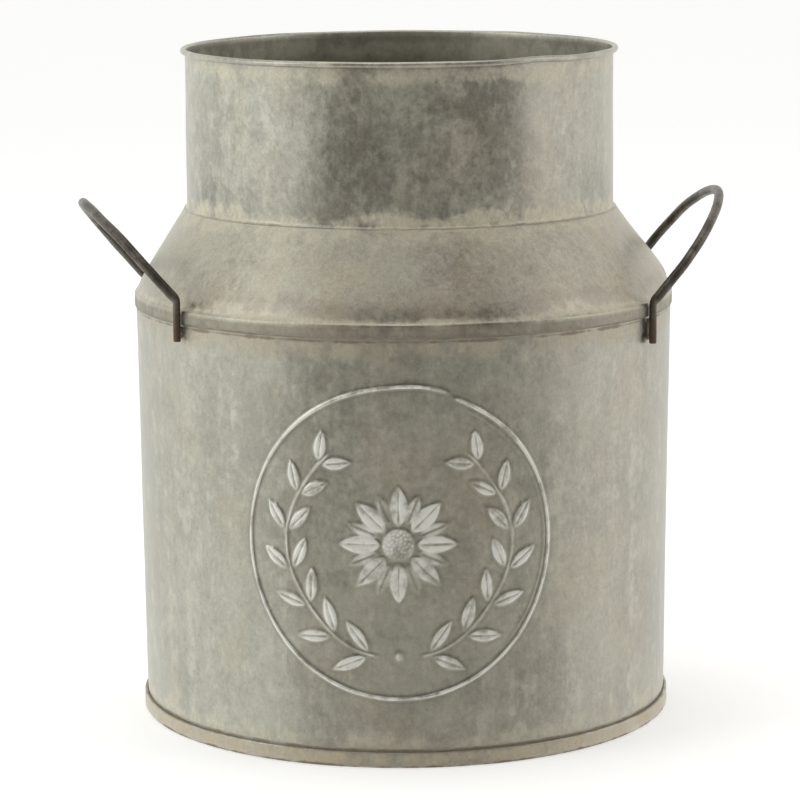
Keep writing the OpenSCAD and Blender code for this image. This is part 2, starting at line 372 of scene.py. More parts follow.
def build_shoulder():
    a, b = (RT - 0.1, Z_TOP - 0.12), (RN + 1.6, Z_NECK)
    inner_a = (a[0] - CN[0] * T - 0.05, a[1] - CN[1] * T + 0.2)
    inner_b = (b[0] - CN[0] * T, b[1] - CN[1] * T - 0.1)
    prof = ([(RT + 0.32, Z_SH0 + 0.12), (RT + 0.42, Z_SH0), (RT + 0.58, Z_SH0 + 0.05), (RT + 0.69, Z_SH0 + 0.25)]
            + line((RT + 0.74, Z_SH0 + 0.7), (RT + 0.72, Z_TOP - 1.6), 1.2)
            + [(RT + 0.66, Z_TOP - 1.15), (RT + 0.54, Z_TOP - 0.82), (RT + 0.34, Z_TOP - 0.58), (RT + 0.10, Z_TOP - 0.36), (RT - 0.16, Z_TOP - 0.06), (RT - 0.42, Z_TOP + 0.32)]
            + line((a[0] - 0.6, a[1] + 0.95), b, 1.6)
            + [(b[0] - 0.02, b[1] + 0.02), (b[0] - 0.35, b[1] + 0.12), (RN + 0.75, Z_NECK + 0.03), (RN + 0.35, Z_NECK - 0.02), (RN + 0.12, Z_NECK - 0.1),
               (RN + 0.1, Z_NECK - 0.45), (RN + 0.6, Z_NECK - 0.5), (inner_b[0], inner_b[1])]
            + line((inner_b[0] + CU[0] * -1.0, inner_b[1] - CU[1] * 1.0), inner_a, 4.0)
            + [inner_a, (RT - 0.05, Z_TOP - 0.75), (RT + 0.22, Z_TOP - 1.0), (RT + 0.29, Z_TOP - 1.4), (RT + 0.30, Z_SH0 + 3.0), (RT + 0.30, Z_SH0 + 0.6)])

    def move(t, r, z):
        p = on_cylinder(np.maximum(r, 80), t, z)
        mid = smooth(Z_TOP + 1, Z_TOP + 9, z) * (1 - smooth(Z_NECK - 8, Z_NECK - 1, z))
        n = mid * (0.34 * fbm(p, (44, 44, 50), 2, 0.5, 21.0) + 0.05 * fbm(p, 13, 2, 0.5, 2.0))
        # the cone swells a little above the seam band, more so on one side
        u = np.clip((z - Z_TOP - 0.3) / (Z_NECK - Z_TOP), 0, 1)
        n = n + smooth(0.0, 0.17, u) * (1 - smooth(0.2, 0.95, u)) * (0.75 + 1.0 * np.exp((np.cos(t) - 1) / 0.15))
        # the seam band was hammered down by hand: it waves a little, and is nicked here and there
        band = (z < Z_TOP + 0.5) & (r > RT + 0.4)
        wave = 0.16 * fbm(on_cylinder(116.0, t, z * 0), (34, 34, 34), 2, 0.6, 40.0) + 0.05 * fbm(on_cylinder(116.0, t, z * 0), 7, 2, 0.5, 4.0)
        ir = np.where(band, np.clip(0.5 * wave - 0.06, -0.4, 0.0), 0)
        return n * CN[0] + ir, n * CN[1] + np.where(band, wave * 0.8, 0)

    def seam(t, r, z):
        x = back_x(t, r)
        w = smooth(Z_TOP + 0.9, Z_TOP + 2.0, z) * (1 - smooth(Z_NECK - 1.8, Z_NECK - 0.9, z))
        outer = (r - (RT + (z - Z_TOP) * CU[0] / CU[1])) > -0.32
        return np.where(outer, rib(x) * w, 0)

    return build_round("shoulder_shell", prof, 104.0, 1.9, move, 40, seam, lambda r, z: (r - (RT + (z - Z_TOP) * CU[0] / CU[1])) < -0.45)


# ---------------------------------------------------------------- neck with its curled rim
def rim_shift(t, z):
    """The mouth isn't square to the can: it dips to the front, is a shade out of round and has one knock."""
    c = on_cylinder(91.0, t, 0 * t)
    up = np.clip((z - Z_NECK - 4) / (CAN_H - 6 - Z_NECK - 4), 0, 1)
    rim = smooth(CAN_H - 9, CAN_H - 2.5, z)
    k = np.exp(-(((t - math.radians(308)) * 91 / 13) ** 2))
    dz = up * (-1.5 * np.cos(t - math.radians(268)) - 0.1) + rim * (0.16 * fbm(c, 36, 2, 0.6, 14.0) + 0.55 * k)
    dr = up * (0.25 * np.cos(2 * (t - 0.4)) + 0.10 * fbm(c, 40, 2, 0.5, 60.0)) - rim * 0.25 * k
    return dr, dz


def build_neck():
    rc = RIM_R - 1.22
    zc = CAN_H - 1.24
    rb = 1.22
    ri = 0.80
    flare = lambda z: 0.42 * (1 - smooth(Z_NECK, Z_NECK + 60, np.array(z)))
    ro = lambda z: RN + float(flare(z))
    wall = [(ro(z), z) for z in np.concatenate([[Z_NECK + 1.5, Z_NECK + 2.4], np.arange(Z_NECK + 3.6, zc - 2.4, 1.7), [zc - 2.0, zc - 1.5]])]
    curl_out = arc((rc, zc), rb, 228, 0, 15)[:-1] + arc((rc, zc), rb, 0, -100, 9)
    # the wall runs up inside the curl: the outside of the wall meets the curl's open lip
    prof = ([(RN - T, Z_NECK - 0.95), (RN + 0.9, Z_NECK - 0.95), (RN + 1.0, Z_NECK - 0.75), (RN + 0.95, Z_NECK - 0.58), (RN + 0.08, Z_NECK - 0.56),
             (RN + 0.02, Z_NECK - 0.1), (RN + 0.1, Z_NECK - 0.02), (RN + 0.7, Z_NECK + 0.0), (RN + 1.3, Z_NECK + 0.02), (RN + 1.62, Z_NECK + 0.03), (RN + 1.66, Z_NECK + 0.13),
             (RN + 1.50, Z_NECK + 0.26), (RN + 1.15, Z_NECK + 0.42), (RN + 0.82, Z_NECK + 0.70), (RN + 0.60, Z_NECK + 1.05)]
            + wall
            + [(RN - 0.02, zc - 1.0), (RN - 0.06, zc - 0.4), (RN - 0.06, zc)]
            + arc((rc, zc), ri, 180, -92, 22)
            + [(rc + 0.05, zc - 0.98), (rc + 0.02, zc - 1.12)]
            + arc((rc, zc), rb, -88, 90, 15)[:-1] + arc((rc, zc), rb, 90, 180, 8)
            + [(RN - T - 0.02, z) for z in (zc - 2, zc - 8, zc - 16, zc - 26, zc - 38, zc - 52)] + [(RN - T, Z_NECK + 4), (RN - T, Z_NECK + 1)])

    def move(t, r, z):
        p = on_cylinder(91.0, t, z)
        mid = smooth(Z_NECK + 2, Z_NECK + 16, z) * (1 - smooth(CAN_H - 26, CAN_H - 7, z))
        dr = mid * (0.32 * fbm(p, (46, 46, 40), 2, 0.5, 8.0) + 0.045 * fbm(p, 12, 2, 0.5, 31.0))
        er, ez = rim_shift(t, z)
        return dr + er, ez

    def seam(t, r, z):
        x = back_x(t, 91.0)
        w = smooth(Z_NECK + 1.8, Z_NECK + 3.0, z) * (1 - smooth(CAN_H - 4.6, CAN_H - 3.4, z))
        return np.where((r > RN - 0.2), rib(x) * w, 0)

    return build_round("neck_shell", prof, 91.0, 1.5, move, 42, seam, lambda r, z: (r < RN - 0.3) & (z < CAN_H - 2))


def build_hoop():
    rc, zc, K = RIM_R - 1.22, CAN_H - 1.24, 12
    th = columns(91.0, 2.2)
    a = np.arange(K) * TAU / K
    N = len(th)
    t = np.repeat(th, K)
    r = rc + 0.74 * np.tile(np.cos(a), N)
    z = zc + 0.74 * np.tile(np.sin(a), N)
    er, ez = rim_shift(t, np.full_like(z, zc))
    V = set_over(on_cylinder(r + er, t, z + ez), z)
    F = [(j * K + k, ((j + 1) % N) * K + k, ((j + 1) % N) * K + (k + 1) % K, j * K + (k + 1) % K) for j in range(N) for k in range(K)]
    return make_object("hoop", V, F, 0)


# ---------------------------------------------------------------- base pan
def build_base():
    R = BASE_R
    zp = 7.0
    rc = RB - T - 0.1
    out = []
    out += [(rc - 5.0, zp - 0.45), (rc - 2.0, zp - 0.5), (rc - 0.9, zp - 0.9), (rc - 0.5, zp - 1.8), (rc - 0.45, 3.0), (rc - 0.42, 0.9),
            (rc - 0.2, 0.25), (rc + 0.2, 0.03), (rc + 0.8, 0.0)]
    out += line((rc + 1.2, 0.0), (R - 0.6, 0.0), 0.7) + arc((R - 0.5, 0.5), 0.5, -90, 0, 6)
    out += line((R, 1.1), (R, H_BASE - 0.8), 1.1) + arc((R - 0.45, H_BASE - 0.45), 0.45, 0, 90, 6)
    out += [(R - 0.9, H_BASE + 0.02), (RB + 0.3, H_BASE), (RB + 0.12, H_BASE - 0.1), (RB + 0.1, H_BASE - 0.4), (RB + 0.1, 3.2), (RB + 0.5, 3.1), (RB + 0.5, H_BASE - 0.6),
            (RB + 1.1, H_BASE - 0.6), (RB + 1.12, 0.5), (rc + 0.9, 0.42), (rc + 0.1, 0.5), (rc, 1.2), (rc, 3.2), (rc, zp - 1.6), (rc - 0.4, zp - 0.35), (rc - 1.6, zp - 0.02), (rc - 5, zp)]
    # panel with two shallow pressed rings, closed by a small flat at the centre
    top = [(rc - 9, zp), (rc - 12, zp + 0.25), (rc - 15, zp + 0.6), (rc - 22, zp + 0.62), (rc - 34, zp + 0.6), (rc - 50, zp + 0.62), (rc - 66, zp + 0.6), (rc - 84, zp + 0.6), (12.0, zp + 0.6), (2.0, zp + 0.6)]
    bot = [(2.0, zp + 0.15), (12.0, zp + 0.15), (rc - 84, zp + 0.15), (rc - 66, zp + 0.15), (rc - 50, zp + 0.17), (rc - 34, zp + 0.15), (rc - 22, zp + 0.17), (rc - 15, zp + 0.15), (rc - 12, zp - 0.2), (rc - 9, zp - 0.45)]
    prof = np.array(out + top + bot)
    n0, n1 = len(out) + len(top) - 1, len(out) + len(top)
    th = columns(114.0, 2.3)
    M, N = len(prof), len(th)
    r, z, t = np.repeat(prof[:, 0], N), np.repeat(prof[:, 1], N), np.tile(th, M)
    c = on_cylinder(114.0, t, z * 0)
    skin = smooth(rc + 1.2, R - 0.5, r)
    w = 0.20 * fbm(c, 30, 2, 0.6, 70.0) + 0.05 * fbm(c, 7, 2, 0.5, 5.0)
    up = smooth(4.0, H_BASE, z)
    r = r + skin * np.clip(0.45 * w - 0.05, -0.35, 0.0)
    z = z + skin * up * w * 0.9
    pan = (1 - smooth(rc - 22, rc - 8, r)) * (r < rc)
    z = z + pan * 0.5 * fbm(np.stack([r * np.cos(t), r * np.sin(t), 0 * t], 1), 50, 2, 0.5, 90.0)
    V = on_cylinder(r, t, z)
    faces = []
    for i in range(M):
        k = (i + 1) % M
        if i == n0:
            continue
        for j in range(N):
            faces.append((i * N + j, i * N + (j + 1) % N, k * N + (j + 1) % N, k * N + j))
    # close the centre above and below
    ca, cb = len(V), len(V) + 1
    za, zb = V[n0 * N:(n0 + 1) * N, 2].mean(), V[n1 * N:(n1 + 1) * N, 2].mean()
    V = np.vstack([V, [[0, 0, za], [0, 0, zb]]])
    for j in range(N):
        faces.append((n0 * N + j, n0 * N + (j + 1) % N, ca))
        faces.append((n1 * N + (j + 1) % N, n1 * N + j, cb))
    return make_object("base_shell", V, faces, 38)


# ---------------------------------------------------------------- handles
HW, HR = 53.0, 2.0
REACH, STRAIGHT, CORNER_R = 49.0, 23.0, 8.0
BEND_Z, FOOT_Z, ELBOW = 184.2, 166.8, 2.6
LEG_R = SKIRT_R + HR + 0.05


def handle_path(slope, raise_all, raise_side, hw, reach):
    """The loop is welded on a little crooked: raise_all fades out towards the tip, raise_side is per half width."""
    HW, REACH = hw, reach
    LEG_X = math.sqrt(LEG_R ** 2 - HW ** 2)
    TOP_R = ((HW - CORNER_R) ** 2 + (STRAIGHT - REACH) ** 2 - CORNER_R ** 2) / (2 * ((REACH - STRAIGHT) - CORNER_R))
    CORNER_A = math.atan2(STRAIGHT - (REACH - TOP_R), HW - CORNER_R)
    sl = math.radians(slope)

    def crooked(p, v):
        return (p[0], p[1], p[2] + raise_all * (1 - v / REACH) + raise_side * p[1] / HW)

    def lift(v, u):
        return crooked((LEG_X + v * math.cos(sl), u, BEND_Z + v * math.sin(sl)), v)

    def half(m):
        e = ELBOW * math.tan((math.pi / 2 - sl) / 2)
        z1 = BEND_Z - e
        pts = [crooked((LEG_X, m * HW, FOOT_Z + (z1 - FOOT_Z) * i / 9), 0) for i in range(9)]
        for i in range(9):
            a = math.pi - (math.pi / 2 - sl) * i / 8
            pts.append(crooked((LEG_X + ELBOW + ELBOW * math.cos(a), m * HW, z1 + ELBOW * math.sin(a)), 0))
        for i in range(1, 10):
            pts.append(lift(e + (STRAIGHT - e) * i / 10, m * HW))
        for i in range(13):
            a = CORNER_A * i / 12
            pts.append(lift(STRAIGHT + CORNER_R * math.sin(a), m * (HW - CORNER_R * (1 - math.cos(a)))))
        for i in range(1, 20):
            a = CORNER_A + (math.pi / 2 - CORNER_A) * i / 20
            pts.append(lift(REACH - TOP_R + TOP_R * math.sin(a), m * TOP_R * math.cos(a)))
        return pts

    near, far = half(-1), half(1)
    return np.array(near + [lift(REACH, 0)] + far[::-1])


def build_handle(name, slope, turn_deg, seed, raise_all, raise_side, hw, reach):
    P = handle_path(slope, raise_all, raise_side, hw, reach)
    # resample evenly and ease the path, so the bends look pulled by hand
    seg = np.r_[0, np.cumsum(np.linalg.norm(np.diff(P, axis=0), axis=1))]
    n = int(seg[-1] / 1.0)
    s = np.linspace(0, seg[-1], n)
    P = np.stack([np.interp(s, seg, P[:, k]) for k in range(3)], 1)
    for _ in range(2):
        P[1:-1] = 0.5 * P[1:-1] + 0.25 * (P[:-2] + P[2:])
    # the corners of the loop are eased into one another, as in a hand-bent wire
    Q = P.copy()
    for _ in range(260):
        Q[1:-1] = 0.5 * Q[1:-1] + 0.25 * (Q[:-2] + Q[2:])
    ease = smooth(30, 46, s) * smooth(30, 46, s[::-1])
    P = P + (Q - P) * ease[:, None]
    # legs pressed in towards the wall
    leg = smooth(20.5, 17.0, s) + smooth(20.5, 17.0, s[::-1])
    pull = np.hypot(P[:, 0], P[:, 1])
    P[:, :2] *= (1 - 0.45 * leg / pull)[:, None]
    free = smooth(14, 34, s) * smooth(14, 34, s[::-1])
    for k in range(3):
        P[:, k] += free * 0.40 * fbm(np.stack([s, 0 * s, 0 * s + seed * 13 + k * 5], 1), (38, 1, 1), 2, 0.4, 0.7 + k)
    ang = math.radians(turn_deg)
    R = np.array([[math.cos(ang), -math.sin(ang), 0], [math.sin(ang), math.cos(ang), 0], [0, 0, 1]])
    P = P @ R.T
    # parallel frames
    tan = np.gradient(P, axis=0)
    tan /= np.linalg.norm(tan, axis=1)[:, None]
    side = np.array([1.0, 0.2, 0.0])
    S = []
    for t in tan:
        side = side - side.dot(t) * t
        side = side / np.linalg.norm(side)
        S.append(side)
    S = np.array(S)
    B = np.cross(tan, S)
    K = 28
    # cut ends with a small rounded burr
    rad = HR * (1 - 0.23 * smooth(19.5, 15.5, s) - 0.23 * smooth(19.5, 15.5, s[::-1]))
    rad = rad * (1 + 0.012 * fbm(np.stack([s, 0 * s, 0 * s + seed], 1), (6, 1, 1), 2, 0.5))
    V, rows = [], 0

    def ring(c, sv, bv, r):
        a = np.arange(K) * TAU / K
        return c + r * (np.cos(a)[:, None] * sv + np.sin(a)[:, None] * bv)

    V.append(ring(P[0] + tan[0] * 0.0, S[0], B[0], rad[0] * 0.80))
    V.append(ring(P[0] + tan[0] * 0.22, S[0], B[0], rad[0] * 0.96))
    for i in range(1, n - 1):
        V.append(ring(P[i], S[i], B[i], rad[i]))
    V.append(ring(P[-1] - tan[-1] * 0.22, S[-1], B[-1], rad[-1] * 0.96))
    V.append(ring(P[-1], S[-1], B[-1], rad[-1] * 0.80))
    rows = len(V)
    V = np.vstack(V)
    faces = []
    for i in range(rows - 1):
        for k in range(K):
            faces.append((i * K + k, i * K + (k + 1) % K, (i + 1) * K + (k + 1) % K, (i + 1) * K + k))
    ca, cb = len(V), len(V) + 1
    V = np.vstack([V, P[0][None], P[-1][None]])
    for k in range(K):
        faces.append((ca, (k + 1) % K, k))
        faces.append((cb, (rows - 1) * K + k, (rows - 1) * K + (k + 1) % K))
    arclen = np.concatenate([np.repeat(np.linspace(0, seg[-1], rows), K), [0, seg[-1]]])
    foot = np.clip(1 - np.minimum(arclen, seg[-1] - arclen) / 26.0, 0, 1)
    return make_object(name, V, faces, 50, {"foot": foot})


def build_welds(name, turn_deg, seed, lifts, hw):
    """Two flattened beads of weld metal between the legs and the wall, below the seam band."""
    V, F = [], []
    nu, nv = 28, 20
    for m, up in zip((-1, 1), lifts):
        az = math.radians(turn_deg) + m * (math.asin(hw / LEG_R) - math.radians(0.75))
        u = np.arange(nu) * TAU / nu
        base = len(V) and sum(len(v) for v in V)
        lo = FOOT_Z + 0.9 + up
        zc, hz = (lo + 175.2) / 2, (175.2 - lo) / 2
        rows = []
        for i in range(1, nv):
            w = -1 + 2 * i / nv
            prof = (1 - abs(w) ** 3.2) ** 0.5
            a = 1.10 * prof        # across, out of the wall
            b = 1.45 * prof        # along the wall
            x = 115.45 + a * np.cos(u)
            y = b * np.sin(u)
            z = zc + hz * w + 0 * u
            rows.append(np.stack([x, y, z], 1))
        pts = np.vstack(rows + [[[115.45, 0, zc - hz]], [[115.45, 0, zc + hz]]])
        n = fbm(pts + seed * 31 + m * 9, (2.3, 2.3, 1.6), 2, 0.5)
        c = np.array([115.45, 0, zc])
        d = pts - c
        pts = c + d * (1 + 0.10 * n[:, None] * np.array([1, 1, 0.3]))
        # ripples of the bead
        pts[:, 0] += 0.10 * np.sin((pts[:, 2] - zc) * 3.6)
        R = np.array([[math.cos(az), -math.sin(az), 0], [math.sin(az), math.cos(az), 0], [0, 0, 1]])
        V.append(pts @ R.T)
        o = base or 0
        for i in range(nv - 2):
            for k in range(nu):
                F.append((o + i * nu + k, o + i * nu + (k + 1) % nu, o + (i + 1) * nu + (k + 1) % nu, o + (i + 1) * nu + k))
        p0, hi = o + (nv - 1) * nu, o + (nv - 1) * nu + 1
        for k in range(nu):
            F.append((p0, o + (k + 1) % nu, o + k))
            F.append((hi, o + (nv - 2) * nu + k, o + (nv - 2) * nu + (k + 1) % nu))
    return make_object(name, np.vstack(V), F, 0)


# ---------------------------------------------------------------- materials
class Nodes:
    """A small hand for wiring a node material."""

    def __init__(self, name):
        self.m = bpy.data.materials.new(name)
        self.m.use_nodes = True
        self.t = self.m.node_tree
        self.t.nodes.clear()
        self.out = self.t.nodes.new("ShaderNodeOutputMaterial")
        self.coord = self.t.nodes.new("ShaderNodeTexCoord").outputs["Object"]
        self._cyl = None

    def new(self, kind, **props):
        n = self.t.nodes.new(kind)
        for k, v in props.items():
            setattr(n, k, v)
        return n

    def link(self, a, b):
        self.t.links.new(a, b)
        return b

    def put(self, socket, value):
        if hasattr(value, "is_output") or isinstance(value, bpy.types.NodeSocket):
            self.link(value, socket)
        else:
            socket.default_value = value

    def math(self, op, a, b=None, c=None, clamp=False):
        n = self.new("ShaderNodeMath", operation=op, use_clamp=clamp)
        self.put(n.inputs[0], a)
        if b is not None:
            self.put(n.inputs[1], b)
        if c is not None:
            self.put(n.inputs[2], c)
        return n.outputs[0]

    def scaled(self, s, offset=(0, 0, 0)):
        n = self.new("ShaderNodeMapping")
        self.link(self.coord, n.inputs["Vector"])
        n.inputs["Scale"].default_value = s
        n.inputs["Location"].default_value = offset
        return n.outputs[0]

    def noise(self, scale, stretch=(1, 1, 1), offset=(0, 0, 0), detail=3.0, rough=0.55, dist=0.0):
        n = self.new("ShaderNodeTexNoise")
        self.link(self.scaled(stretch, offset), n.inputs["Vector"])
        n.inputs["Scale"].default_value = scale
        n.inputs["Detail"].default_value = detail
        n.inputs["Roughness"].default_value = rough
        n.inputs["Distortion"].default_value = dist
        return n.outputs["Fac"]

    def ramp(self, fac, lo, hi, a=0.0, b=1.0):
        n = self.new("ShaderNodeMapRange", interpolation_type="SMOOTHSTEP")
        self.put(n.inputs["Value"], fac)
        n.inputs["From Min"].default_value = lo
        n.inputs["From Max"].default_value = hi
        n.inputs["To Min"].default_value = a
        n.inputs["To Max"].default_value = b
        return n.outputs["Result"]

    def mix(self, fac, a, b):
        n = self.new("ShaderNodeMix", data_type="RGBA")
        self.put(n.inputs["Factor"], fac)
        for s, v in ((n.inputs[6], a), (n.inputs[7], b)):
            self.put(s, v)
        return n.outputs[2]

    def mixf(self, fac, a, b):
        n = self.new("ShaderNodeMix", data_type="FLOAT")
        self.put(n.inputs["Factor"], fac)
        self.put(n.inputs[2], a)
        self.put(n.inputs[3], b)
        return n.outputs[0]

    def z_mm(self):
        s = self.new("ShaderNodeSeparateXYZ")
        self.link(self.coord, s.inputs[0])
        return self.math("MULTIPLY", s.outputs[2], 1000.0)

    def attr(self, name):
        n = self.new("ShaderNodeAttribute", attribute_name=name)
        return n.outputs["Fac"]


def srgb(r, g, b):
    f = lambda c: c / 12.92 if c <= 0.04045 else ((c + 0.055) / 1.055) ** 2.4
    return (f(r / 255), f(g / 255), f(b / 255), 1.0)


# one place for the tones of the metal, so every sheet piece ages alike
TONE = {
    "dark": srgb(155, 152, 142),       # dark bloom
    "grey": srgb(178, 176, 163),       # common dull zinc
    "pale": srgb(200, 198, 184),       # chalky zinc oxide
    "cream": srgb(208, 202, 180),      # oxide gathered along the seams
    "tan": srgb(186, 174, 150),        # warm stain
    "mauve": srgb(150, 138, 130),      # brown-violet blotches in the stain
    "brown": srgb(104, 87, 69),        # rust in the creases
}


def zinc(name, bands=(), dark=0.0, relief=False, warm=0.0, seed=0.0, gain=1.0, crisp=1.0):
    """Aged zinc. bands: (height mm, half width mm, raggedness mm, strength, tone) of the stains that follow the seams."""
    k = Nodes(name)
    z = k.z_mm()
    o = seed
    cloud = k.noise(15.0, (1, 1, 0.8), (0.3 + o, 0.1, 0.2), 2.0, 0.5, 0.0)
    blot = k.noise(52.0, (1, 1, 0.85), (0.7, 0.9 + o, 0.4), 3.0, 0.60, 0.25)
    spot = k.noise(150.0, (1, 1, 0.8), (0.1, 0.5, 0.9 + o), 3.0, 0.65, 0.1)
    fine = k.noise(430.0, (1, 1, 0.75), (0.2 + o, 0.2, 0.6), 2.0, 0.65)
    grain = k.noise(1050.0, (1, 1, 1), (0, 0, 0), 1.0, 0.6)
    streak = k.noise(120.0, (1, 1, 0.06), (0.5, 0.2, 0.1), 3.0, 0.6, 0.0)
    mix = k.math("ADD", k.math("MULTIPLY", cloud, 0.30), k.math("MULTIPLY", blot, 0.27))
    mix = k.math("ADD", mix, k.math("MULTIPLY", spot, 0.22))
    mix = k.math("ADD", mix, k.math("MULTIPLY", streak, 0.09))
    mix = k.math("ADD", mix, k.math("MULTIPLY", fine, 0.12))
    # 0 where the dark bloom shows, 1 where the dull grey oxide has grown
    oxide = k.ramp(mix, 0.4875 + dark - 0.1125 / crisp, 0.4875 + dark + 0.1125 / crisp)
    col = k.mix(oxide, TONE["dark"], TONE["grey"])
    chalk = k.ramp(k.math("ADD", k.math("MULTIPLY", spot, 0.55), k.math("MULTIPLY", streak, 0.45)), 0.50, 0.68)
    col = k.mix(k.math("MULTIPLY", chalk, 0.45), col, TONE["pale"])
    ruddy = k.ramp(k.noise(34.0, (1, 1, 0.7), (0.9, 0.4 + o, 0.7), 3.0, 0.5, 0.0), 0.46, 0.70)
    col = k.mix(k.math("ADD", k.math("MULTIPLY", ruddy, 0.22 + 0.3 * warm), warm), col, TONE["tan"])
    pit = k.ramp(k.noise(260.0, (1, 1, 1), (0.4, 0.8, 0.3 + o), 2.0, 0.5), 0.62, 0.74)
    col = k.mix(k.math("MULTIPLY", pit, 0.30), col, TONE["dark"])
    stain_all = None
    for (h, half, ragged, strength, tone) in bands:
        d = k.math("ABSOLUTE", k.math("SUBTRACT", z, h))
        edge = k.math("ADD", d, k.math("MULTIPLY", k.math("SUBTRACT", blot, 0.5), -ragged * 5.0))
        edge = k.math("ADD", edge, k.math("MULTIPLY", k.math("SUBTRACT", spot, 0.5), -ragged * 4.0))
        patch = k.ramp(k.math("ADD", k.math("MULTIPLY", blot, 0.5), k.math("MULTIPLY", spot, 0.5)), 0.38, 0.58, 0.25, 1.0)
        s = k.math("MULTIPLY", k.math("MULTIPLY", k.ramp(edge, half, half * 0.1), strength), patch)
        col = k.mix(s, col, TONE[tone])
        if tone != "dark":
            stain_all = s if stain_all is None else k.math("MAXIMUM", stain_all, s)
    # fine speckle over everything
    value = k.new("ShaderNodeHueSaturation")
    speck = k.math("ADD", k.math("MULTIPLY", grain, 0.28 * crisp), k.math("MULTIPLY", fine, 0.30 * crisp))
    k.put(value.inputs["Value"], k.math("MULTIPLY", k.math("ADD", speck, 1.0 - 0.29 * crisp), gain))
    k.put(value.inputs["Color"], col)
    col = value.outputs["Color"]
    metal = k.mixf(oxide, 0.97, 0.79)
    rough = k.mixf(oxide, 0.33, 0.44)
    rough = k.math("ADD", rough, k.math("MULTIPLY", k.math("SUBTRACT", fine, 0.5), 0.20))
    if stain_all is not None:
        metal = k.mixf(stain_all, metal, 0.25)
        rough = k.mixf(stain_all, rough, 0.62)
    if relief:
        top = k.attr("relief")
        shade_grime = k.attr("hollow_shade_grime")
        # raised relief tops turn near white, less metallic and smoother: rubbed wear plus a painted highlight that
        # keeps them bright where little light reaches them
        worn_and_highlight = k.math("MULTIPLY", k.ramp(top, 0.32, 0.80), k.ramp(k.noise(110.0, (1, 1, 1), (0.2, 0.6, 0.1), 3.0, 0.6), 0.32, 0.56, 0.25, 1.0))
        # painted shade with some grime: the hollows beside the raised relief are darkened
        col = k.mix(k.math("MULTIPLY", shade_grime, 0.26), col, srgb(112, 106, 94))
        col = k.mix(k.math("MULTIPLY", worn_and_highlight, 0.94), col, srgb(240, 240, 233))
        metal = k.mixf(worn_and_highlight, metal, 0.15)
        rough = k.mixf(worn_and_highlight, rough, 0.30)
    # the inside is duller and darker than the outside
    inner = k.attr("inside")
    col = k.mix(k.math("MULTIPLY", inner, 0.5), col, srgb(118, 114, 102))
    rough = k.mixf(inner, rough, 0.55)
    bsdf = k.new("ShaderNodeBsdfPrincipled")
    k.put(bsdf.inputs["Base Color"], col)
    k.put(bsdf.inputs["Metallic"], metal)
    k.put(bsdf.inputs["Roughness"], k.math("MINIMUM", k.math("MAXIMUM", rough, 0.2), 0.9))
    height = k.math("ADD", k.math("MULTIPLY", blot, 0.50), k.math("MULTIPLY", spot, 0.35))
    height = k.math("ADD", height, k.math("MULTIPLY", fine, 0.25))
    height = k.math("ADD", height, k.math("MULTIPLY", grain, 0.12))
    b = k.new("ShaderNodeBump")
    b.inputs["Strength"].default_value = 0.35
    b.inputs["Distance"].default_value = 0.0004
    k.put(b.inputs["Height"], height)
    k.put(bsdf.inputs["Normal"], b.outputs[0])
    k.link(bsdf.outputs[0], k.out.inputs["Surface"])
    return k.m


def wire(name, rusty=True):
    k = Nodes(name)
    n = k.noise(120.0, (1, 1, 0.4), (0.2, 0.4, 0.6), 4.0, 0.6, 0.3)
    f = k.noise(700.0, (1, 1, 1), (0.6, 0.2, 0.1), 3.0, 0.6)
    col = k.mix(k.ramp(n, 0.38, 0.64), srgb(78, 73, 66), srgb(112, 107, 98))
    col = k.mix(k.math("MULTIPLY", k.ramp(f, 0.50, 0.70), 0.5), col, srgb(60, 54, 47))
    metal, rough = k.mixf(n, 0.85, 0.7), k.math("ADD", k.math("MULTIPLY", f, 0.30), 0.26)
    if rusty:
        foot = k.attr("foot")
        r = k.ramp(k.math("ADD", k.math("MULTIPLY", foot, 0.8), k.math("MULTIPLY", n, 0.6)), 0.62, 0.95)
        col = k.mix(k.math("MULTIPLY", r, 0.8), col, srgb(92, 70, 52))
        metal = k.mixf(r, metal, 0.2)
        rough = k.mixf(r, rough, 0.7)
    bsdf = k.new("ShaderNodeBsdfPrincipled")
    k.put(bsdf.inputs["Base Color"], col)
    k.put(bsdf.inputs["Metallic"], metal)
    k.put(bsdf.inputs["Roughness"], rough)
    b = k.new("ShaderNodeBump")
    b.inputs["Strength"].default_value = 0.4
    b.inputs["Distance"].default_value = 0.0002
    k.put(b.inputs["Height"], k.math("ADD", k.math("MULTIPLY", n, 0.6), k.math("MULTIPLY", f, 0.4)))
    k.put(bsdf.inputs["Normal"], b.outputs[0])
    k.link(bsdf.outputs[0], k.out.inputs["Surface"])
    return k.m


def weld(name):
    k = Nodes(name)
    n = k.noise(420.0, (1, 1, 1), (0.1, 0.3, 0.2), 4.0, 0.6)
    col = k.mix(k.ramp(n, 0.34, 0.56), srgb(146, 126, 102), srgb(192, 186, 168))
    bsdf = k.new("ShaderNodeBsdfPrincipled")
    k.put(bsdf.inputs["Base Color"], col)
    k.put(bsdf.inputs["Metallic"], k.mixf(n, 0.5, 0.2))
    k.put(bsdf.inputs["Roughness"], k.math("ADD", k.math("MULTIPLY", n, 0.3), 0.42))
    b = k.new("ShaderNodeBump")
    b.inputs["Strength"].default_value = 0.5
    b.inputs["Distance"].default_value = 0.0003
    k.put(b.inputs["Height"], n)
    k.put(bsdf.inputs["Normal"], b.outputs[0])
    k.link(bsdf.outputs[0], k.out.inputs["Surface"])
    return k.m


